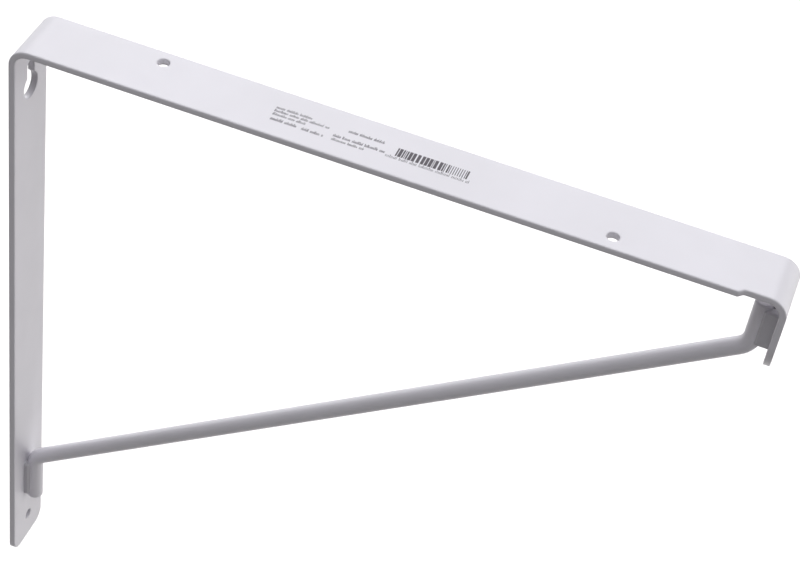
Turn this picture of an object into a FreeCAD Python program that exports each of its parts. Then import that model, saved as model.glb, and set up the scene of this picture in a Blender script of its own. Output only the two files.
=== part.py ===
"""Welded shelf bracket: a bent flat strap, and a bent round rod that braces it.

The strap is the wall leg, the shelf arm and the front lip in one. The rod's two tails lie along the leg and
along the lip, each held by a weld bead on either side.

Frame: the origin is the centre of the lower wall screw hole, on the wall plane. +X points away from the wall
along the shelf arm, +Y across the strap and +Z up. The near side is -Y. Sizes are in millimetres.
"""
import FreeCAD, Part
import math
import os
import re

import Sketcher

# Driving dimensions: alias, value, what it is
DIMENSIONS = [
    ("strap_width", 30.0, "width of the flat bar"),
    ("strap_gauge", 3.0, "thickness of the flat bar"),
    ("edge_radius", 0.4, "rounding of the flat bar's long edges"),
    ("arm_reach", 340.0, "wall plane to the front face of the lip"),
    ("leg_height", 331.0, "bottom edge of the leg to the top of the arm"),
    ("bend_radius", 6.0, "inside radius of the strap's two bends"),
    ("leg_corner_radius", 7.0, "rounding of the leg's two bottom corners"),
    ("lip_drop", 44.0, "top of the arm to the tip of the lip"),
    ("lip_shoulder", 26.0, "top of the arm to where the lip starts to narrow"),
    ("lip_tip_radius", 6.5, "rounding of the lip's tip"),
    ("relief_depth", 2.2, "how far the near edge is set in along the front"),
    ("relief_start", 20.9, "front face of the lip back to where the near edge starts to step in"),
    ("relief_run", 2.0, "length of the step along the near edge"),
    ("relief_radius", 1.5, "rounding of the step's two corners"),
    ("wall_hole_diameter", 5.5, "lower wall screw hole"),
    ("wall_hole_height", 16.0, "bottom edge of the leg to the lower wall screw hole"),
    ("keyhole_head_diameter", 12.5, "round part of the keyhole"),
    ("keyhole_drop", 29.0, "top of the arm to the centre of the round part"),
    ("keyhole_slot_width", 6.5, "slot of the keyhole"),
    ("keyhole_slot_rise", 11.0, "centre of the round part up to the slot's end centre"),
    ("shelf_hole_diameter", 5.5, "the two shelf screw holes"),
    ("shelf_hole_rear", 61.0, "wall plane to the rear shelf screw hole"),
    ("shelf_hole_front", 265.0, "wall plane to the front shelf screw hole"),
    ("shelf_hole_stagger", 7.5, "middle of the strap to each shelf screw hole"),
    ("rod_diameter", 8.0, "brace rod"),
    ("rod_bend_radius", 10.0, "centre line radius of the rod's two bends"),
    ("rod_lower_corner", 268.0, "top of the arm to the corner of the rod's lower bend"),
    ("rod_upper_corner", 37.0, "top of the arm to the corner of the rod's upper bend"),
    ("rod_lower_tail", 28.0, "corner of the lower bend to the rod's lower end"),
    ("rod_upper_tail", 24.5, "corner of the upper bend to the rod's upper end"),
    ("rod_upper_gap", 3.2, "inner face of the lip to the rod's upper tail, filled by the weld beads"),
    ("rod_end_chamfer", 0.4, "chamfer of the rod's two cut ends"),
    ("weld_leg", 0.8, "side of the rod to the outer edge of a weld bead"),
    ("weld_wall", 1.9, "upright side of a weld bead, above the rod's nearest point to the strap"),
    ("weld_shy", 1.1, "widest point of the rod back to the top of a weld bead"),
    ("weld_root", 1.0, "centre line of the rod to the root of a weld bead"),
    ("weld_margin", 2.0, "cut end of the rod to the end of a weld bead"),
    ("weld_overrun", 2.0, "how far a weld bead runs on beside the rod's bend"),
    ("weld_end_chamfer", 0.8, "slope at the two ends of a weld bead"),
]

# Places, as expressions over the dimensions
ARM_TOP = "(leg_height - wall_hole_height)"
LEG_BOTTOM = "(0 - wall_hole_height)"
LIP_TIP = f"({ARM_TOP} - lip_drop)"
NEAR_EDGE = "(0 - strap_width / 2)"
FAR_EDGE = "(strap_width / 2)"
ROD_REAR = "(strap_gauge + rod_diameter / 2)"
ROD_FRONT = "(arm_reach - strap_gauge - rod_upper_gap - rod_diameter / 2)"
ROD_LOW_CORNER = f"({ARM_TOP} - rod_lower_corner)"
ROD_HIGH_CORNER = f"({ARM_TOP} - rod_upper_corner)"
ROD_LOW_END = f"({ROD_LOW_CORNER} - rod_lower_tail)"
ROD_HIGH_END = f"({ROD_HIGH_CORNER} + rod_upper_tail)"

# Length that each of the rod's bends takes from its tail: the radius times the tangent of half the turn
ROD_RUN = f"({ROD_FRONT} - {ROD_REAR})"
ROD_RISE = "(rod_lower_corner - rod_upper_corner)"
ROD_SETBACK = f"(rod_bend_radius * (sqrt({ROD_RUN} ^ 2 + {ROD_RISE} ^ 2) - {ROD_RISE}) / {ROD_RUN})"

doc = FreeCAD.newDocument("shelf_bracket")

START, END, CENTRE = 1, 2, 3
ORIGIN_POINT = (-1, 1)


def make_sheet():
    """The spreadsheet of driving dimensions: one row each, with its meaning, value and alias."""
    sheet = doc.addObject("Spreadsheet::Sheet", "Dimensions")
    for row, (alias, number, meaning) in enumerate(DIMENSIONS, start=1):
        sheet.set(f"A{row}", meaning)
        sheet.set(f"B{row}", str(number))
        sheet.setAlias(f"B{row}", alias)
    doc.recompute()
    return sheet


sheet = make_sheet()
ALIAS = re.compile(r"\b(" + "|".join(alias for alias, _, _ in DIMENSIONS) + r")\b")


def bound(expression):
    """The expression with each dimension written as a reference to its cell."""
    return ALIAS.sub(r"<<Dimensions>>.\1", expression)


def number(expression):
    """What the expression comes to with the sheet's present values."""
    filled = ALIAS.sub(lambda match: f"({sheet.get(match.group(1))})", expression)
    return FreeCAD.Units.Quantity(filled).Value


def new_body(label):
    """A body whose label names the sub-part."""
    body = doc.addObject("PartDesign::Body", label)
    body.Label = label
    body.Placement = FreeCAD.Placement()
    return body


def new_sketch(body, name, plane, offset="0"):
    """A sketch on one of the body's origin planes, shifted along the plane's normal."""
    sketch = body.newObject("Sketcher::SketchObject", name)
    support = next(item for item in body.Origin.OriginFeatures if item.Role == plane)
    sketch.AttachmentSupport = (support, [""])
    sketch.MapMode = "FlatFace"
    sketch.setExpression("AttachmentOffset.Base.z", bound(offset))
    return sketch


def constrain(sketch, kind, *refs, size=None):
    """Adds a constraint. One with a size is bound to the sheet by that expression."""
    if size is None:
        return sketch.addConstraint(Sketcher.Constraint(kind, *refs))
    index = sketch.addConstraint(Sketcher.Constraint(kind, *refs, number(size)))
    sketch.setExpression(f"Constraints[{index}]", bound(size))
    return index


def place(sketch, point, across, up):
    """Fixes a point of the sketch by its two distances from the origin."""
    constrain(sketch, "DistanceX", *ORIGIN_POINT, *point, size=across)
    constrain(sketch, "DistanceY", *ORIGIN_POINT, *point, size=up)


def vector(across, up):
    return FreeCAD.Vector(number(across), number(up), 0)


def arc_between(centre, radius, start, end):
    """Counter-clockwise arc from the direction of start to the direction of end, both seen from the centre."""
    circle = Part.Circle(centre, FreeCAD.Vector(0, 0, 1), radius)
    angles = [math.atan2(point.y - centre.y, point.x - centre.x) for point in (start, end)]
    if angles[1] <= angles[0]:
        angles[1] += 2 * math.pi
    return Part.ArcOfCircle(circle, *angles)


def draw_runs(sketch, corners, closed=True):
    """Straight runs from corner to corner, each corner (across, up) or (across, up, radius of its bend)."""
    count = len(corners)
    points = [vector(corner[0], corner[1]) for corner in corners]
    joints = {}
    for index, corner in enumerate(corners):
        here = points[index]
        if len(corner) < 3:
            joints[index] = (here, here, None)
            continue
        back = (points[index - 1] - here).normalize()
        ahead = (points[(index + 1) % count] - here).normalize()
        half_angle = back.getAngle(ahead) / 2
        radius = number(corner[2])
        setback = radius / math.tan(half_angle)
        centre = here + (back + ahead).normalize() * (radius / math.sin(half_angle))
        joints[index] = (here + back * setback, here + ahead * setback, centre)

    runs = []
    for index in range(count if closed else count - 1):
        start = joints[index][1]
        end = joints[(index + 1) % count][0]
        runs.append(sketch.addGeometry(Part.LineSegment(start, end), False))

    if not closed:
        place(sketch, (runs[0], START), *corners[0][:2])
        place(sketch, (runs[-1], END), *corners[-1][:2])
    for index in range(count) if closed else range(1, count - 1):
        before, after = runs[index - 1], runs[index % len(runs)]
        if joints[index][2] is None:
            constrain(sketch, "Coincident", before, END, after, START)
            place(sketch, (after, START), *corners[index][:2])
            continue
        entry, leave, centre = joints[index]
        left_turn = (entry - centre).cross(leave - centre).z > 0
        ends = (entry, leave) if left_turn else (leave, entry)
        arc = sketch.addGeometry(arc_between(centre, number(corners[index][2]), *ends), False)
        entry_end, leave_end = (START, END) if left_turn else (END, START)
        constrain(sketch, "Tangent", before, END, arc, entry_end)
        constrain(sketch, "Tangent", arc, leave_end, after, START)
        constrain(sketch, "Radius", arc, size=corners[index][2])
        corner_point = sketch.addGeometry(Part.Point(points[index]), True)
        constrain(sketch, "PointOnObject", corner_point, START, before)
        constrain(sketch, "PointOnObject", corner_point, START, after)
        place(sketch, (corner_point, START), *corners[index][:2])


def draw_circle(sketch, across, up, diameter):
    outline = Part.Circle(vector(across, up), FreeCAD.Vector(0, 0, 1), number(diameter) / 2)
    circle = sketch.addGeometry(outline, False)
    constrain(sketch, "Diameter", circle, size=diameter)
    place(sketch, (circle, CENTRE), across, up)


def cut(body, name, sketch, length=None, reversed_cut=False):
    """A pocket that has to take material away: through everything, or to the length."""
    before = body.Tip.Shape.Volume
    pocket = body.newObject("PartDesign::Pocket", name)
    pocket.Profile = sketch
    pocket.Reversed = reversed_cut
    if length is None:
        pocket.Type = "ThroughAll"
        pocket.Midplane = True
    else:
        pocket.setExpression("Length", bound(length))
    doc.recompute()
    if pocket.Shape.Volume >= before:
        raise RuntimeError(f"{name} takes nothing away")
    return pocket


def edges_where(shape, test):
    """Names of the shape's edges that pass the test."""
    return [f"Edge{index}" for index, edge in enumerate(shape.Edges, start=1) if test(edge)]


def near(first, second):
    return abs(first - second) < 1e-3


def round_edges(body, name, radius, test):
    """Rounds the edges of the body's tip that pass the test."""
    base = body.Tip
    names = edges_where(base.Shape, test)
    fillet = body.newObject("PartDesign::Fillet", name)
    fillet.Base = (base, names)
    fillet.setExpression("Radius", bound(radius))
    body.Tip = fillet
    doc.recompute()


def is_skin(face):
    """Whether the face is one of the flat bar's two broad sides, flat or bent."""
    kind = face.Surface.TypeId
    if kind == "Part::GeomCylinder":
        return near(abs(face.Surface.Axis.y), 1)
    return near(face.Surface.Axis.y, 0) and not near(face.BoundBox.ZMax, number(LEG_BOTTOM))


def draw_tongue(sketch):
    """What is cut from the front of the strap to leave the lip's round-ended tongue."""
    near_side_edge = "(relief_depth - strap_width / 2)"
    middle = "(relief_depth / 2)"
    shoulder = f"({ARM_TOP} - lip_shoulder)"
    half = "(strap_width / 2 - relief_depth / 2)"
    depth = "(lip_drop - lip_shoulder)"
    side_radius = f"(({half} ^ 2 + {depth} ^ 2 - 2 * {depth} * lip_tip_radius) / (2 * ({half} - lip_tip_radius)))"

    near_shoulder = vector(near_side_edge, shoulder)
    far_shoulder = vector(FAR_EDGE, shoulder)
    radius = number(side_radius)
    tip_radius = number("lip_tip_radius")
    tip_centre = vector(middle, f"{LIP_TIP} + lip_tip_radius")
    near_centre = near_shoulder + FreeCAD.Vector(radius, 0, 0)
    far_centre = far_shoulder - FreeCAD.Vector(radius, 0, 0)
    near_join = tip_centre + (tip_centre - near_centre).normalize() * tip_radius
    far_join = tip_centre + (tip_centre - far_centre).normalize() * tip_radius

    outside = FreeCAD.Vector(number("strap_width"), 0, 0)
    below = FreeCAD.Vector(0, number(f"{LIP_TIP} - strap_width") - near_shoulder.y, 0)
    frame = [near_shoulder, near_shoulder - outside, near_shoulder - outside + below]
    frame += [far_shoulder + outside + below, far_shoulder + outside, far_shoulder]
    lines = [sketch.addGeometry(Part.LineSegment(*pair), False) for pair in zip(frame, frame[1:])]
    far_side = sketch.addGeometry(arc_between(far_centre, radius, far_join, far_shoulder), False)
    tip = sketch.addGeometry(arc_between(tip_centre, tip_radius, near_join, far_join), False)
    near_side = sketch.addGeometry(arc_between(near_centre, radius, near_shoulder, near_join), False)

    for first, second in zip(lines, lines[1:]):
        constrain(sketch, "Coincident", first, END, second, START)
    for line, kind in zip(lines, ("Horizontal", "Vertical", "Horizontal", "Vertical", "Horizontal")):
        constrain(sketch, kind, line)
    constrain(sketch, "Coincident", lines[-1], END, far_side, END)
    constrain(sketch, "Tangent", far_side, START, tip, END)
    constrain(sketch, "Tangent", tip, START, near_side, END)
    constrain(sketch, "Coincident", near_side, START, lines[0], START)
    place(sketch, (lines[0], START), near_side_edge, shoulder)
    place(sketch, (lines[-1], END), FAR_EDGE, shoulder)
    constrain(sketch, "DistanceX", lines[0], END, lines[0], START, size="strap_width")
    constrain(sketch, "DistanceX", lines[-1], END, lines[-1], START, size="strap_width")
    constrain(sketch, "DistanceY", lines[1], END, lines[1], START, size=f"({depth} + strap_width)")
    constrain(sketch, "Horizontal", near_side, CENTRE, near_side, START)
    constrain(sketch, "Horizontal", far_side, CENTRE, far_side, END)
    constrain(sketch, "Radius", tip, size="lip_tip_radius")
    place(sketch, (tip, CENTRE), middle, f"({LIP_TIP} + lip_tip_radius)")


def draw_keyhole(sketch):
    """A round head that takes the screw's head, with a slot up from it for the screw's neck."""
    head = vector("0", f"{ARM_TOP} - keyhole_drop")
    slot_end = head + FreeCAD.Vector(0, number("keyhole_slot_rise"), 0)
    head_radius = number("keyhole_head_diameter / 2")
    half_slot = number("keyhole_slot_width / 2")
    mouth = math.sqrt(head_radius ** 2 - half_slot ** 2)
    low = [head + FreeCAD.Vector(side * half_slot, mouth, 0) for side in (-1, 1)]
    high = [slot_end + FreeCAD.Vector(side * half_slot, 0, 0) for side in (-1, 1)]

    left = sketch.addGeometry(Part.LineSegment(high[0], low[0]), False)
    round_head = sketch.addGeometry(arc_between(head, head_radius, *low), False)
    right = sketch.addGeometry(Part.LineSegment(low[1], high[1]), False)
    slot_top = sketch.addGeometry(arc_between(slot_end, half_slot, high[1], high[0]), False)

    constrain(sketch, "Coincident", left, END, round_head, START)
    constrain(sketch, "Coincident", round_head, END, right, START)
    constrain(sketch, "Tangent", right, END, slot_top, START)
    constrain(sketch, "Tangent", slot_top, END, left, START)
    constrain(sketch, "Vertical", left)
    constrain(sketch, "Diameter", round_head, size="keyhole_head_diameter")
    constrain(sketch, "Diameter", slot_top, size="keyhole_slot_width")
    place(sketch, (round_head, CENTRE), "0", f"({ARM_TOP} - keyhole_drop)")
    place(sketch, (slot_top, CENTRE), "0", f"({ARM_TOP} - keyhole_drop + keyhole_slot_rise)")


def make_strap():
    """The flat bar: wall leg, bend, shelf arm, bend and front lip, with its holes."""
    body = new_body("strap")

    side_view = new_sketch(body, "StrapSideView", "XZ_Plane")
    outer_bend = "(bend_radius + strap_gauge)"
    arm_under = f"({ARM_TOP} - strap_gauge)"
    lip_back = "(arm_reach - strap_gauge)"
    draw_runs(side_view, [
        ("0", LEG_BOTTOM),
        ("0", ARM_TOP, outer_bend),
        ("arm_reach", ARM_TOP, outer_bend),
        ("arm_reach", LIP_TIP),
        (lip_back, LIP_TIP),
        (lip_back, arm_under, "bend_radius"),
        ("strap_gauge", arm_under, "bend_radius"),
        ("strap_gauge", LEG_BOTTOM),
    ])
    bar = body.newObject("PartDesign::Pad", "StrapBar")
    bar.Profile = side_view
    bar.Midplane = True
    bar.setExpression("Length", bound("strap_width"))
    doc.recompute()

    # The near edge steps in just behind the front bend and stays in down to the lip's tip
    step = new_sketch(body, "NearEdgeStep", "XY_Plane")
    step_start = "(arm_reach - relief_start)"
    inner_edge = "(relief_depth - strap_width / 2)"
    outside = "(0 - strap_width)"
    draw_runs(step, [
        (step_start, outside),
        ("(arm_reach + strap_width)", outside),
        ("(arm_reach + strap_width)", inner_edge),
        (f"({step_start} + relief_run)", inner_edge),
        (step_start, NEAR_EDGE),
    ])
    cut(body, "NearEdgeRelief", step)

    tongue = new_sketch(body, "LipTongue", "YZ_Plane", "arm_reach")
    draw_tongue(tongue)
    cut(body, "LipOutline", tongue, length="(2 * strap_gauge)")

    low = number(LEG_BOTTOM)
    round_edges(body, "LegCorners", "leg_corner_radius", lambda edge: (
        near(edge.BoundBox.ZMax, low)
        and near(edge.BoundBox.YLength, 0)))
    step_corners = (number(step_start), number(f"{step_start} + relief_run"))
    round_edges(body, "StepCorners", "relief_radius", lambda edge: (
        near(edge.BoundBox.XLength, 0)
        and near(edge.BoundBox.YLength, 0)
        and any(near(edge.BoundBox.XMax, corner) for corner in step_corners)))
    shape = body.Tip.Shape
    round_edges(body, "SoftEdges", "edge_radius", lambda edge: (
        sorted(is_skin(face) for face in shape.ancestorsOfType(edge, Part.Face)) == [False, True]))

    keyhole = new_sketch(body, "KeyholeOutline", "YZ_Plane")
    draw_keyhole(keyhole)
    cut(body, "Keyhole", keyhole, length="(2 * strap_gauge)", reversed_cut=True)

    wall_hole = new_sketch(body, "WallHoleOutline", "YZ_Plane")
    draw_circle(wall_hole, "0", "0", "wall_hole_diameter")
    cut(body, "WallHole", wall_hole, length="(2 * strap_gauge)", reversed_cut=True)

    shelf_holes = new_sketch(body, "ShelfHoleCentres", "XY_Plane", ARM_TOP)
    draw_circle(shelf_holes, "shelf_hole_rear", "shelf_hole_stagger", "shelf_hole_diameter")
    draw_circle(shelf_holes, "shelf_hole_front", "(0 - shelf_hole_stagger)", "shelf_hole_diameter")
    doc.recompute()
    holes = body.newObject("PartDesign::Hole", "ShelfHoles")
    holes.Profile = shelf_holes
    holes.DepthType = "ThroughAll"
    holes.setExpression("Diameter", bound("shelf_hole_diameter"))
    doc.recompute()
    return body


def make_rod():
    """The brace: a lower tail on the leg, a straight slanting run, and an upper tail on the lip."""
    body = new_body("brace_rod")

    route = new_sketch(body, "RodRoute", "XZ_Plane")
    draw_runs(route, [
        (ROD_REAR, ROD_LOW_END),
        (ROD_REAR, ROD_LOW_CORNER, "rod_bend_radius"),
        (ROD_FRONT, ROD_HIGH_CORNER, "rod_bend_radius"),
        (ROD_FRONT, ROD_HIGH_END),
    ], closed=False)
    section = new_sketch(body, "RodSection", "XY_Plane", ROD_LOW_END)
    draw_circle(section, ROD_REAR, "0", "rod_diameter")
    doc.recompute()

    bar = body.newObject("PartDesign::AdditivePipe", "RodBar")
    bar.Profile = section
    bar.Spine = (route, [f"Edge{index}" for index in range(1, len(route.Shape.Edges) + 1)])
    doc.recompute()

    ends = body.newObject("PartDesign::Chamfer", "RodEnds")
    heights = (number(ROD_LOW_END), number(ROD_HIGH_END))
    ends.Base = (bar, edges_where(bar.Shape, lambda edge: (
        near(edge.BoundBox.ZLength, 0)
        and any(near(edge.BoundBox.ZMax, height) for height in heights))))
    ends.setExpression("Size", bound("rod_end_chamfer"))
    body.Tip = ends
    doc.recompute()
    return body


def make_weld(label, face, gap, rod, inwards, side, low, length):
    """A weld bead in the groove between the rod and a flat face of the strap.

    face and rod are the places of the face and of the rod's axis along X, gap is the space between the two,
    inwards is the sign of the way from the face to the rod, side is the sign of the bead's side of the rod, low
    is its lower end.
    """
    body = new_body(label)
    section = new_sketch(body, label + "_section", "XY_Plane", low)
    radius = "(rod_diameter / 2)"
    root = f"({side} * weld_root)"
    foot = f"({side} * ({radius} + weld_leg))"
    root_gap = f"({gap} + {radius} - sqrt({radius} ^ 2 - weld_root ^ 2))"
    top_height = f"({gap} + {radius} - weld_shy)"
    top = f"({side} * sqrt({radius} ^ 2 - weld_shy ^ 2))"
    on_face = f"({face})"
    root_place = (f"({face} + {inwards} * {root_gap})", root)
    shoulder_place = (f"({face} + {inwards} * ({gap} + weld_wall))", foot)
    top_place = (f"({face} + {inwards} * {top_height})", top)

    face_root = vector(on_face, root)
    face_foot = vector(on_face, foot)
    shoulder = vector(*shoulder_place)
    rod_root = vector(*root_place)
    rod_top = vector(*top_place)
    centre = vector(rod, "0")
    groove = sketch_order(centre, rod_root, rod_top)

    foot_run = section.addGeometry(Part.LineSegment(face_root, face_foot), False)
    wall = section.addGeometry(Part.LineSegment(face_foot, shoulder), False)
    slope = section.addGeometry(Part.LineSegment(shoulder, rod_top), False)
    hollow = section.addGeometry(arc_between(centre, number(radius), *groove[0]), False)
    root_run = section.addGeometry(Part.LineSegment(rod_root, face_root), False)
    hollow_root, hollow_top = groove[1]
    constrain(section, "Coincident", foot_run, END, wall, START)
    constrain(section, "Coincident", wall, END, slope, START)
    constrain(section, "Coincident", slope, END, hollow, hollow_top)
    constrain(section, "Coincident", hollow, hollow_root, root_run, START)
    constrain(section, "Coincident", root_run, END, foot_run, START)
    place(section, (foot_run, START), on_face, root)
    place(section, (foot_run, END), on_face, foot)
    place(section, (wall, END), *shoulder_place)
    place(section, (hollow, CENTRE), rod, "0")
    constrain(section, "Radius", hollow, size=radius)
    constrain(section, "DistanceY", *ORIGIN_POINT, root_run, START, size=root)
    constrain(section, "DistanceX", *ORIGIN_POINT, slope, END, size=top_place[0])
    doc.recompute()

    bead = body.newObject("PartDesign::Pad", label + "_bead")
    bead.Profile = section
    bead.setExpression("Length", bound(length))
    doc.recompute()

    ends = body.newObject("PartDesign::Chamfer", label + "_ends")
    middles = ((face_foot + shoulder) * 0.5, (shoulder + rod_top) * 0.5)
    ends.Base = (bead, edges_where(bead.Shape, lambda edge: (
        near(edge.BoundBox.ZLength, 0)
        and any(near(edge.CenterOfMass.x, middle.x) and near(edge.CenterOfMass.y, middle.y)
                for middle in middles))))
    ends.setExpression("Size", bound("weld_end_chamfer"))
    body.Tip = ends
    doc.recompute()
    return body


def sketch_order(centre, root, top):
    """The groove's two ends in counter-clockwise order, and which end of the arc each one is."""
    if (root - centre).cross(top - centre).z > 0:
        return (root, top), (START, END)
    return (top, root), (END, START)


def make_welds():
    """Two beads beside the lower tail, on the leg, and two beside the upper tail, on the lip."""
    beads = []
    leg_face, lip_face = "strap_gauge", "(arm_reach - strap_gauge)"
    low_start = f"({ROD_LOW_END} + weld_margin)"
    low_length = f"(rod_lower_tail - {ROD_SETBACK} - weld_margin + weld_overrun)"
    high_start = f"({ROD_HIGH_CORNER} + {ROD_SETBACK} - weld_overrun)"
    high_length = f"(rod_upper_tail - {ROD_SETBACK} - weld_margin + weld_overrun)"
    for side_name, side in (("near", -1), ("far", 1)):
        beads.append(make_weld(
            f"lower_weld_{side_name}", leg_face, "0", ROD_REAR, 1, side, low_start, low_length))
        beads.append(make_weld(
            f"upper_weld_{side_name}", lip_face, "rod_upper_gap", ROD_FRONT, -1, side, high_start,
            high_length))
    return beads


def check(bodies):
    """Stops if any object failed, or any sub-part isn't one valid solid."""
    for item in doc.Objects:
        if "Invalid" in item.State or "Error" in item.State:
            raise RuntimeError(f"{item.Label} failed: {item.State}")
    for body in bodies:
        shape = body.Shape
        if shape.isNull() or not shape.isValid() or len(shape.Solids) != 1:
            raise RuntimeError(f"{body.Label} isn't one valid solid")


def main():
    bodies = [make_strap(), make_rod()] + make_welds()
    doc.recompute()
    check(bodies)
    os.makedirs("parts", exist_ok=True)
    for body in bodies:
        box = body.Shape.BoundBox
        print(f"{body.Label}: {body.Shape.Volume:.1f} mm3, x {box.XMin:.2f} to {box.XMax:.2f},"
              f" y {box.YMin:.2f} to {box.YMax:.2f}, z {box.ZMin:.2f} to {box.ZMax:.2f}")
        body.Shape.exportStep(f"parts/{body.Label}.step")


main()
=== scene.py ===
"""Dresses the welded shelf bracket: powder coat on its steel, print on its arm, and a plain studio."""
import random

import bmesh
import bpy
from bpy.props import FloatProperty, FloatVectorProperty, IntProperty, PointerProperty
from mathutils import Matrix, Vector


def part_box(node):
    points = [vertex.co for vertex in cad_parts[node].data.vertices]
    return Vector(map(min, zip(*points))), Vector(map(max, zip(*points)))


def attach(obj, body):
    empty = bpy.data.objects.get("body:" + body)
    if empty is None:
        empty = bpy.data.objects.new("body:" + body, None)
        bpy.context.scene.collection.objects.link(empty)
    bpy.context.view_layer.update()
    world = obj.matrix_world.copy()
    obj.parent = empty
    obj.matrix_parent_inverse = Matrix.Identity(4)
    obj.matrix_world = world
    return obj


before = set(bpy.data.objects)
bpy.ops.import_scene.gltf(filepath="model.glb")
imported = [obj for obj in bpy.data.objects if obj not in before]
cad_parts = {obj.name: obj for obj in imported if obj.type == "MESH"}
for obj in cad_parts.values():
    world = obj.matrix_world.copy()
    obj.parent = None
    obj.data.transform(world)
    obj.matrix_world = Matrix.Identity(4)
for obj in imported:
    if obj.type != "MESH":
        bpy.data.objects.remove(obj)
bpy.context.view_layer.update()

bl_info = {
    "name": "Shelf Bracket",
    "version": (1, 0, 0),
    "blender": (4, 5, 0),
    "location": "3D View > Sidebar > Bracket",
    "description": "Powder coat, arm print and studio for a welded shelf bracket",
    "category": "Object",
}

MM = 0.001
ARM_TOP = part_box("strap")[1].z
BARS = ("strap", "brace_rod")
WELDS = ("lower_weld_near", "lower_weld_far", "upper_weld_near", "upper_weld_far")

# Widths of the patches in which a finish varies
COAT_PATCH, GLOSS_PATCH, WELD_LUMP, INK_PATCH = 55 * MM, 9 * MM, 2.2 * MM, 0.8 * MM
# How far the coat's roughness goes below and above its usual value
GLOSSIER, DULLER = 0.04, 0.05
# Most of a noise's values lie between these two
NOISE_LOW, NOISE_HIGH = 0.3, 0.7
COAT_IOR, INK_IOR = 1.5, 1.45
WELD_LUMP_ROUGHNESS = 0.6
INK_ROUGHNESS = 0.55
# How much lighter worn ink is
INK_WEAR = 0.05
# Rays by which a soft edge looks for the faces round it
EDGE_RAYS = 8

# A row of ticks, in millimetres: the lengths of its groups and the gap between two of them
GROUP_LENGTHS, GROUP_GAP = (2.4, 6.5), 0.75
# Shares of a row's height, stroke and gap that a tick may have
TICK_HEIGHTS, TICK_STROKES, TICK_GAPS = (0.62, 0.62, 0.7, 1.0), (0.8, 1.25), (0.7, 1.3)
# Share of the bars that is dense, and the widths and gaps, in modules, of the dense and the open ones
DENSE_SHARE = 0.6
DENSE_BARS = ((1, 2, 3, 4), (1, 1, 1, 2))
OPEN_BARS = ((1, 1, 2, 2), (1, 2, 2))


class BRACKET_PG_coat(bpy.types.PropertyGroup):
    """White powder coat on every steel piece."""
    color: FloatVectorProperty(
        name="Colour", description="Colour of the powder coat", subtype="COLOR", size=3,
        min=0.0, max=1.0, default=(0.83, 0.815, 0.865))
    shade: FloatVectorProperty(
        name="Thin colour", description="Colour where the coat is thinner", subtype="COLOR", size=3,
        min=0.0, max=1.0, default=(0.79, 0.776, 0.82))
    roughness: FloatProperty(
        name="Roughness", description="Roughness of the coat's surface", min=0.0, max=1.0, default=0.34)
    peel_size: FloatProperty(
        name="Peel size", description="Width of one dimple of the coat's orange peel",
        subtype="DISTANCE", unit="LENGTH", default=1.3 * MM)
    peel_depth: FloatProperty(
        name="Peel depth", description="Depth of the orange peel",
        subtype="DISTANCE", unit="LENGTH", default=0.006 * MM)
    edge_softness: FloatProperty(
        name="Edge softness", description="Reach of the coat's soft look from a sharp edge",
        subtype="DISTANCE", unit="LENGTH", default=1.3 * MM)
    # Painted shade: the weld beads' coat is darkened to stand for the shadowed crevice between the rod and
    # the strap.
    painted_weld_shade: FloatProperty(
        name="Weld tone", description="Share of the coat's lightness left on the weld beads",
        min=0.0, max=1.0, default=0.68)
    weld_ripple: FloatProperty(
        name="Weld ripple", description="Height of the ripples along a weld bead",
        subtype="DISTANCE", unit="LENGTH", default=0.12 * MM)


class BRACKET_PG_print(bpy.types.PropertyGroup):
    """Dark print on the arm: rows of plain ticks and a block of plain bars."""
    color: FloatVectorProperty(
        name="Ink colour", description="Colour of the print", subtype="COLOR", size=3,
        min=0.0, max=1.0, default=(0.045, 0.035, 0.05))
    thickness: FloatProperty(
        name="Ink thickness", description="Height of the ink above the coat",
        subtype="DISTANCE", unit="LENGTH", default=0.02 * MM)
    bars_start: FloatProperty(
        name="Bars start", description="Wall plane to the first bar",
        subtype="DISTANCE", unit="LENGTH", default=169.2 * MM)
    bars_length: FloatProperty(
        name="Bars length", description="First bar to the last bar",
        subtype="DISTANCE", unit="LENGTH", default=31.4 * MM)
    bars_near: FloatProperty(
        name="Bars' near end", description="Middle of the arm to the bars' near ends",
        subtype="DISTANCE", unit="LENGTH", default=-2.4 * MM)
    bars_far: FloatProperty(
        name="Bars' far end", description="Middle of the arm to the bars' far ends",
        subtype="DISTANCE", unit="LENGTH", default=3.0 * MM)
    bars_module: FloatProperty(
        name="Bar width", description="Width of the narrowest bar",
        subtype="DISTANCE", unit="LENGTH", default=0.33 * MM)
    seed: IntProperty(
        name="Seed", description="Which run of plain widths the ticks and bars take", default=7)


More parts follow.
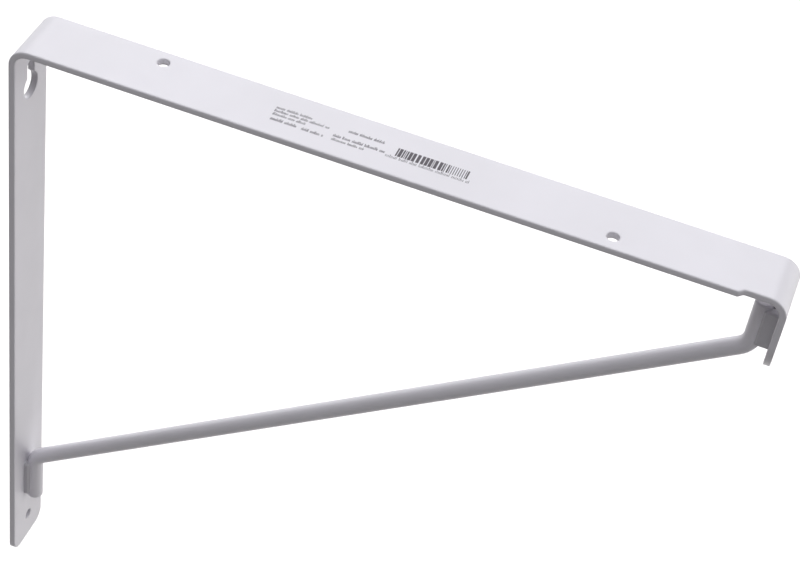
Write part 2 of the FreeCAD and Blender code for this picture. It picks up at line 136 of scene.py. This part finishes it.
class BRACKET_PG_stage(bpy.types.PropertyGroup):
    """Floor, lamps and camera."""
    floor_drop: FloatProperty(
        name="Floor drop", description="Lower screw hole down to the floor",
        subtype="DISTANCE", unit="LENGTH", default=0.5)
    floor_color: FloatVectorProperty(
        name="Floor colour", description="Colour of the floor", subtype="COLOR", size=3,
        min=0.0, max=1.0, default=(0.5, 0.48, 0.48))
    floor_glow: FloatProperty(
        name="Floor white", description="White that the camera sees on the floor as well", default=0.85)
    ambient: FloatProperty(
        name="Ambient", description="Strength of the light from all round", default=0.115)
    top_power: FloatProperty(
        name="Top lamp", description="Power of the lamp above the near side",
        subtype="POWER", default=8.8)
    side_power: FloatProperty(
        name="Side lamp", description="Power of the lamp in front of the wall, at the far side",
        subtype="POWER", default=10.6)
    back_power: FloatProperty(
        name="Back lamp", description="Power of the lamp behind, above the far side",
        subtype="POWER", default=24.0)
    rear_power: FloatProperty(
        name="Rear lamp", description="Power of the lamp behind the wall plane",
        subtype="POWER", default=11.5)
    focal_length: FloatProperty(
        name="Focal length", description="Camera lens, in millimetres on a 36 mm wide sensor", default=92.84)
    camera_place: FloatVectorProperty(
        name="Camera place", description="Where the camera stands", subtype="TRANSLATION", size=3,
        default=(0.3304, -0.6386, 0.8497))
    camera_ahead: FloatVectorProperty(
        name="Camera direction", description="Way the camera looks", subtype="DIRECTION", size=3,
        default=(-0.1686, 0.7162, -0.6773))
    camera_right: FloatVectorProperty(
        name="Camera right", description="Way that is right in the picture", subtype="DIRECTION", size=3,
        default=(0.9323, 0.3389, 0.1264))


def empty_tree(owner, output_kind):
    """The emptied node tree of a new material or world, and its output."""
    owner.use_nodes = True
    tree = owner.node_tree
    tree.nodes.clear()
    return tree, tree.nodes.new(output_kind)


def new_material(name):
    """A new material, its node tree and its Principled shader, ready to wire."""
    material = bpy.data.materials.new(name)
    tree, output = empty_tree(material, "ShaderNodeOutputMaterial")
    shader = tree.nodes.new("ShaderNodeBsdfPrincipled")
    tree.links.new(shader.outputs["BSDF"], output.inputs["Surface"])
    return material, tree, shader


def add_noise(tree, feature_size, detail=2.0, roughness=0.5):
    """Noise in the object's own coordinates, its features about that wide."""
    place = tree.nodes.new("ShaderNodeTexCoord")
    noise = tree.nodes.new("ShaderNodeTexNoise")
    noise.inputs["Scale"].default_value = 1.0 / feature_size
    noise.inputs["Detail"].default_value = detail
    noise.inputs["Roughness"].default_value = roughness
    tree.links.new(place.outputs["Object"], noise.inputs["Vector"])
    return noise.outputs["Fac"]


def add_range(tree, value, low, high):
    """A noise's value, spread over low to high."""
    spread = tree.nodes.new("ShaderNodeMapRange")
    spread.inputs["From Min"].default_value = NOISE_LOW
    spread.inputs["From Max"].default_value = NOISE_HIGH
    spread.inputs["To Min"].default_value = low
    spread.inputs["To Max"].default_value = high
    tree.links.new(value, spread.inputs["Value"])
    return spread.outputs["Result"]


def add_mix(tree, factor, first, second):
    """A colour between the two by the factor."""
    mix = tree.nodes.new("ShaderNodeMix")
    mix.data_type = "RGBA"
    colors = [socket for socket in mix.inputs if socket.type == "RGBA"]
    colors[0].default_value = (*first, 1.0)
    colors[1].default_value = (*second, 1.0)
    tree.links.new(factor, mix.inputs["Factor"])
    return next(socket for socket in mix.outputs if socket.type == "RGBA")


def add_bump(tree, height, depth, normal=None):
    """A bump of that depth, on top of another one where it is given."""
    bump = tree.nodes.new("ShaderNodeBump")
    bump.inputs["Strength"].default_value = 1.0
    bump.inputs["Distance"].default_value = depth
    tree.links.new(height, bump.inputs["Height"])
    if normal is not None:
        tree.links.new(normal, bump.inputs["Normal"])
    return bump.outputs["Normal"]


def add_soft_edges(tree, reach):
    """A normal that turns smoothly over sharp edges, within that reach of them."""
    soft = tree.nodes.new("ShaderNodeBevel")
    soft.samples = EDGE_RAYS
    soft.inputs["Radius"].default_value = reach
    return soft.outputs["Normal"]


def powder_coat(name, coat, painted_shade_share=1.0, ripple=0.0):
    """Satin white powder coat with orange peel: soft over sharp edges, and rippled instead over a weld; a
    share below one darkens its colour as painted shade.
    """
    material, tree, shader = new_material(name)
    thickness = add_noise(tree, COAT_PATCH, detail=3.0)
    # A share below one darkens both colours of the coat as painted shade.
    thin = [channel * painted_shade_share for channel in coat.shade]
    full = [channel * painted_shade_share for channel in coat.color]
    color = add_mix(tree, add_range(tree, thickness, 0.0, 1.0), thin, full)
    tree.links.new(color, shader.inputs["Base Color"])
    gloss = add_noise(tree, GLOSS_PATCH, detail=4.0)
    roughness = add_range(tree, gloss, coat.roughness - GLOSSIER, coat.roughness + DULLER)
    tree.links.new(roughness, shader.inputs["Roughness"])
    shader.inputs["IOR"].default_value = COAT_IOR
    soft = None if ripple else add_soft_edges(tree, coat.edge_softness)
    peel = add_noise(tree, coat.peel_size, detail=1.0)
    normal = add_bump(tree, peel, coat.peel_depth, soft)
    if ripple:
        lumps = add_noise(tree, WELD_LUMP, roughness=WELD_LUMP_ROUGHNESS)
        normal = add_bump(tree, lumps, ripple, normal)
    tree.links.new(normal, shader.inputs["Normal"])
    return material


def ink(name, settings):
    """Matt dark ink, patchy as print on a coated bar is."""
    material, tree, shader = new_material(name)
    patches = add_noise(tree, INK_PATCH, detail=3.0)
    worn = [channel + INK_WEAR for channel in settings.color]
    tree.links.new(add_mix(tree, patches, settings.color, worn), shader.inputs["Base Color"])
    shader.inputs["Roughness"].default_value = INK_ROUGHNESS
    shader.inputs["IOR"].default_value = INK_IOR
    return material


def cover(piece, material):
    """Gives every material slot of the piece the one material."""
    if not piece.material_slots:
        piece.data.materials.append(material)
    for slot in piece.material_slots:
        slot.material = material


def make_object(name, shape, material):
    """An object in the scene made of the bmesh, in place, with the one material."""
    mesh = bpy.data.meshes.new(name)
    shape.to_mesh(mesh)
    shape.free()
    made = bpy.data.objects.new(name, mesh)
    bpy.context.scene.collection.objects.link(made)
    cover(made, material)
    return made


def finish_print(name, shape, material):
    """Makes a piece of the marks in the bmesh and lets it ride on the bracket."""
    bmesh.ops.recalc_face_normals(shape, faces=shape.faces)
    piece = make_object(name, shape, material)
    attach(piece, "root")


def add_mark(target, start, end, near, far, thickness):
    """One flat mark of ink on the arm, from start to end along it and from near to far across it."""
    centre = Vector(((start + end) / 2, (near + far) / 2, ARM_TOP))
    place = Matrix.Translation(centre) @ Matrix.Diagonal((end - start, far - near, 1.0, 1.0))
    made = bmesh.ops.create_grid(target, x_segments=1, y_segments=1, size=0.5, matrix=place)
    faces = list({face for vertex in made["verts"] for face in vertex.link_faces})
    raised = bmesh.ops.extrude_face_region(target, geom=faces)
    tops = [item for item in raised["geom"] if isinstance(item, bmesh.types.BMVert)]
    bmesh.ops.translate(target, verts=tops, vec=(0.0, 0.0, thickness))


def add_tick_row(target, luck, start, end, middle, height, weight, gap, thickness):
    """A row of plain upright ticks in groups, from start to end along the arm."""
    place = start
    near = middle - height / 2
    while place < end:
        group_end = min(place + luck.uniform(*GROUP_LENGTHS) * MM, end)
        while place < group_end:
            stroke = weight * luck.uniform(*TICK_STROKES)
            tall = height * luck.choice(TICK_HEIGHTS)
            add_mark(target, place, place + stroke, near, near + tall, thickness)
            place += stroke + gap * luck.uniform(*TICK_GAPS)
        place += GROUP_GAP * MM


class BRACKET_OT_coat(bpy.types.Operator):
    """Powder coats the strap, the brace rod and the weld beads"""
    bl_idname = "bracket.coat"
    bl_label = "Coat the steel"

    def execute(self, context):
        coat = context.scene.bracket_coat
        plain = powder_coat("white_powder_coat", coat)
        # The weld beads get the coat darkened by painted shade, standing for the shadowed crevice beside the
        # rod.
        painted_shade_over_weld = powder_coat("white_powder_coat_over_weld", coat, coat.painted_weld_shade, coat.weld_ripple)
        for name in BARS:
            cover(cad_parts[name], plain)
        for name in WELDS:
            cover(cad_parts[name], painted_shade_over_weld)
        return {"FINISHED"}


class BRACKET_OT_print_rows(bpy.types.Operator):
    """Prints the rows of small plain ticks on the arm"""
    bl_idname = "bracket.print_rows"
    bl_label = "Print the tick rows"

    # Along the arm from, along the arm to, middle across the arm, height, stroke, gap, in millimetres
    ROWS = (
        (114.6, 131.3, 3.5, 1.8, 0.18, 0.18),
        (114.5, 138.9, 1.25, 1.8, 0.18, 0.18),
        (114.6, 129.2, -1.1, 1.8, 0.18, 0.18),
        (114.9, 126.2, -4.45, 2.0, 0.24, 0.17),
        (128.9, 138.5, -4.65, 1.9, 0.24, 0.18),
        (147.0, 163.6, 3.3, 1.9, 0.24, 0.18),
        (142.1, 164.6, -2.15, 1.9, 0.22, 0.17),
        (142.3, 156.6, -4.75, 1.7, 0.2, 0.19),
    )

    def execute(self, context):
        settings = context.scene.bracket_print
        luck = random.Random(settings.seed)
        rows = bmesh.new()
        for row in self.ROWS:
            start, end, middle, height, weight, gap = (length * MM for length in row)
            add_tick_row(rows, luck, start, end, middle, height, weight, gap, settings.thickness)
        finish_print("arm_print_rows", rows, ink("print_ink", settings))
        return {"FINISHED"}


class BRACKET_OT_print_bars(bpy.types.Operator):
    """Prints the block of plain bars on the arm, with a row of ticks along its near end"""
    bl_idname = "bracket.print_bars"
    bl_label = "Print the bars"

    # The row of ticks along the bars' near end: how far it starts before the bars and ends after them, its
    # middle below their near end, height, stroke and gap, in millimetres
    ROW = (3.5, 1.5, 1.2, 2.0, 0.2, 0.36)

    def execute(self, context):
        settings = context.scene.bracket_print
        luck = random.Random(settings.seed + 1)
        start, end = settings.bars_start, settings.bars_start + settings.bars_length
        dense_end = start + DENSE_SHARE * settings.bars_length
        bars = bmesh.new()
        place = start
        while place < end:
            widths, gaps = DENSE_BARS if place < dense_end else OPEN_BARS
            bar_end = min(place + settings.bars_module * luck.choice(widths), end)
            add_mark(bars, place, bar_end, settings.bars_near, settings.bars_far, settings.thickness)
            place = bar_end + settings.bars_module * luck.choice(gaps)
        before, after, below, height, weight, gap = (length * MM for length in self.ROW)
        middle = settings.bars_near - below
        add_tick_row(bars, luck, start - before, end + after, middle, height, weight, gap, settings.thickness)
        finish_print("arm_print_bars", bars, ink("bar_ink", settings))
        return {"FINISHED"}


def add_seen_rays(tree, strength, otherwise=0.0):
    """The strength on camera, glossy and transmission rays, and otherwise the other value."""
    path = tree.nodes.new("ShaderNodeLightPath")
    total = path.outputs["Is Camera Ray"]
    for kind in ("Is Glossy Ray", "Is Transmission Ray"):
        larger = tree.nodes.new("ShaderNodeMath")
        larger.operation = "MAXIMUM"
        tree.links.new(total, larger.inputs[0])
        tree.links.new(path.outputs[kind], larger.inputs[1])
        total = larger.outputs["Value"]
    spread = tree.nodes.new("ShaderNodeMapRange")
    spread.inputs["To Min"].default_value = otherwise
    spread.inputs["To Max"].default_value = strength
    tree.links.new(total, spread.inputs["Value"])
    return spread.outputs["Result"]


def pale_floor(settings):
    """A pale material that keeps shadows, and that the camera and reflections see as white."""
    material = bpy.data.materials.new("pale_floor")
    tree, output = empty_tree(material, "ShaderNodeOutputMaterial")
    diffuse = tree.nodes.new("ShaderNodeBsdfDiffuse")
    diffuse.inputs["Color"].default_value = (*settings.floor_color, 1.0)
    glow = tree.nodes.new("ShaderNodeEmission")
    both = tree.nodes.new("ShaderNodeAddShader")
    seen = add_seen_rays(tree, settings.floor_glow)
    tree.links.new(seen, glow.inputs["Strength"])
    tree.links.new(diffuse.outputs["BSDF"], both.inputs[0])
    tree.links.new(glow.outputs["Emission"], both.inputs[1])
    tree.links.new(both.outputs["Shader"], output.inputs["Surface"])
    return material


def add_lamp(name, place, target, size, power, color):
    """A soft square lamp at the place, turned to the target."""
    data = bpy.data.lights.new(name, "AREA")
    data.shape = "SQUARE"
    data.size = size
    data.energy = power
    data.color = color
    lamp = bpy.data.objects.new(name, data)
    lamp.location = place
    lamp.rotation_euler = (Vector(target) - Vector(place)).to_track_quat("-Z", "Y").to_euler()
    bpy.context.scene.collection.objects.link(lamp)


class BRACKET_OT_stage(bpy.types.Operator):
    """Sets up the floor, the lamps, the white surroundings and the camera"""
    bl_idname = "bracket.stage"
    bl_label = "Set the stage"

    # Places and sizes are in metres, apart from the width of the camera's sensor, which is in millimetres
    FLOOR_MIDDLE, FLOOR_REACH = (0.15, 0.6), 6.0
    SENSOR_WIDTH = 36.0
    NEAREST_SEEN = 0.01
    LAMP_TARGET = (0.17, 0.0, 0.2)
    # Name, setting of its power, place, size and colour
    LAMPS = (
        ("top_lamp", "top_power", (0.3, -0.4, 1.6), 1.0, (0.97, 0.97, 1.0)),
        ("side_lamp", "side_power", (1.6, 0.6, 0.4), 1.5, (1.0, 0.99, 0.98)),
        ("back_lamp", "back_power", (-0.1, 1.6, 1.3), 2.0, (0.98, 0.98, 1.0)),
        ("rear_lamp", "rear_power", (-1.4, 1.2, 0.9), 2.2, (0.98, 0.98, 1.0)),
    )

    def execute(self, context):
        settings = context.scene.bracket_stage
        self.make_floor(settings)
        self.make_surroundings(context, settings)
        self.make_lamps(settings)
        self.make_camera(context, settings)
        context.scene.view_settings.view_transform = "Standard"
        return {"FINISHED"}

    def make_floor(self, settings):
        shape = bmesh.new()
        place = Matrix.Translation((*self.FLOOR_MIDDLE, -settings.floor_drop))
        bmesh.ops.create_grid(shape, x_segments=1, y_segments=1, size=self.FLOOR_REACH, matrix=place)
        floor = make_object("studio_floor", shape, pale_floor(settings))

    def make_surroundings(self, context, settings):
        world = bpy.data.worlds.new("white_surroundings")
        tree, output = empty_tree(world, "ShaderNodeOutputWorld")
        background = tree.nodes.new("ShaderNodeBackground")
        tree.links.new(add_seen_rays(tree, 1.0, settings.ambient), background.inputs["Strength"])
        tree.links.new(background.outputs["Background"], output.inputs["Surface"])
        context.scene.world = world

    def make_lamps(self, settings):
        for name, power, place, size, color in self.LAMPS:
            add_lamp(name, place, self.LAMP_TARGET, size, getattr(settings, power), color)

    def make_camera(self, context, settings):
        ahead = Vector(settings.camera_ahead).normalized()
        right = Vector(settings.camera_right).normalized()
        up = right.cross(ahead)
        data = bpy.data.cameras.new("photo_camera")
        data.sensor_width = self.SENSOR_WIDTH
        data.sensor_fit = "HORIZONTAL"
        data.lens = settings.focal_length
        data.clip_start = self.NEAREST_SEEN
        camera = bpy.data.objects.new("photo_camera", data)
        turn = Matrix((right, up, -ahead)).transposed()
        camera.matrix_world = Matrix.Translation(settings.camera_place) @ turn.to_4x4()
        bpy.context.scene.collection.objects.link(camera)
        context.scene.camera = camera


class BRACKET_PT_sidebar(bpy.types.Panel):
    """Lists the bracket's steps"""
    bl_label = "Shelf Bracket"
    bl_idname = "BRACKET_PT_sidebar"
    bl_space_type = "VIEW_3D"
    bl_region_type = "UI"
    bl_category = "Bracket"

    def draw(self, context):
        for step in OPERATORS:
            self.layout.operator(step.bl_idname)
        for group in (context.scene.bracket_coat, context.scene.bracket_print, context.scene.bracket_stage):
            box = self.layout.box()
            for name in group.__annotations__:
                box.prop(group, name)


GROUPS = {
    "bracket_coat": BRACKET_PG_coat,
    "bracket_print": BRACKET_PG_print,
    "bracket_stage": BRACKET_PG_stage,
}
OPERATORS = (BRACKET_OT_coat, BRACKET_OT_print_rows, BRACKET_OT_print_bars, BRACKET_OT_stage)
CLASSES = (*GROUPS.values(), *OPERATORS, BRACKET_PT_sidebar)


def register():
    for item in CLASSES:
        bpy.utils.register_class(item)
    for name, group in GROUPS.items():
        setattr(bpy.types.Scene, name, PointerProperty(type=group))


def unregister():
    for name in GROUPS:
        delattr(bpy.types.Scene, name)
    for item in reversed(CLASSES):
        bpy.utils.unregister_class(item)


def main():
    register()
    bpy.ops.bracket.coat()
    bpy.ops.bracket.print_rows()
    bpy.ops.bracket.print_bars()
    bpy.ops.bracket.stage()


if __name__ == "__main__":
    main()
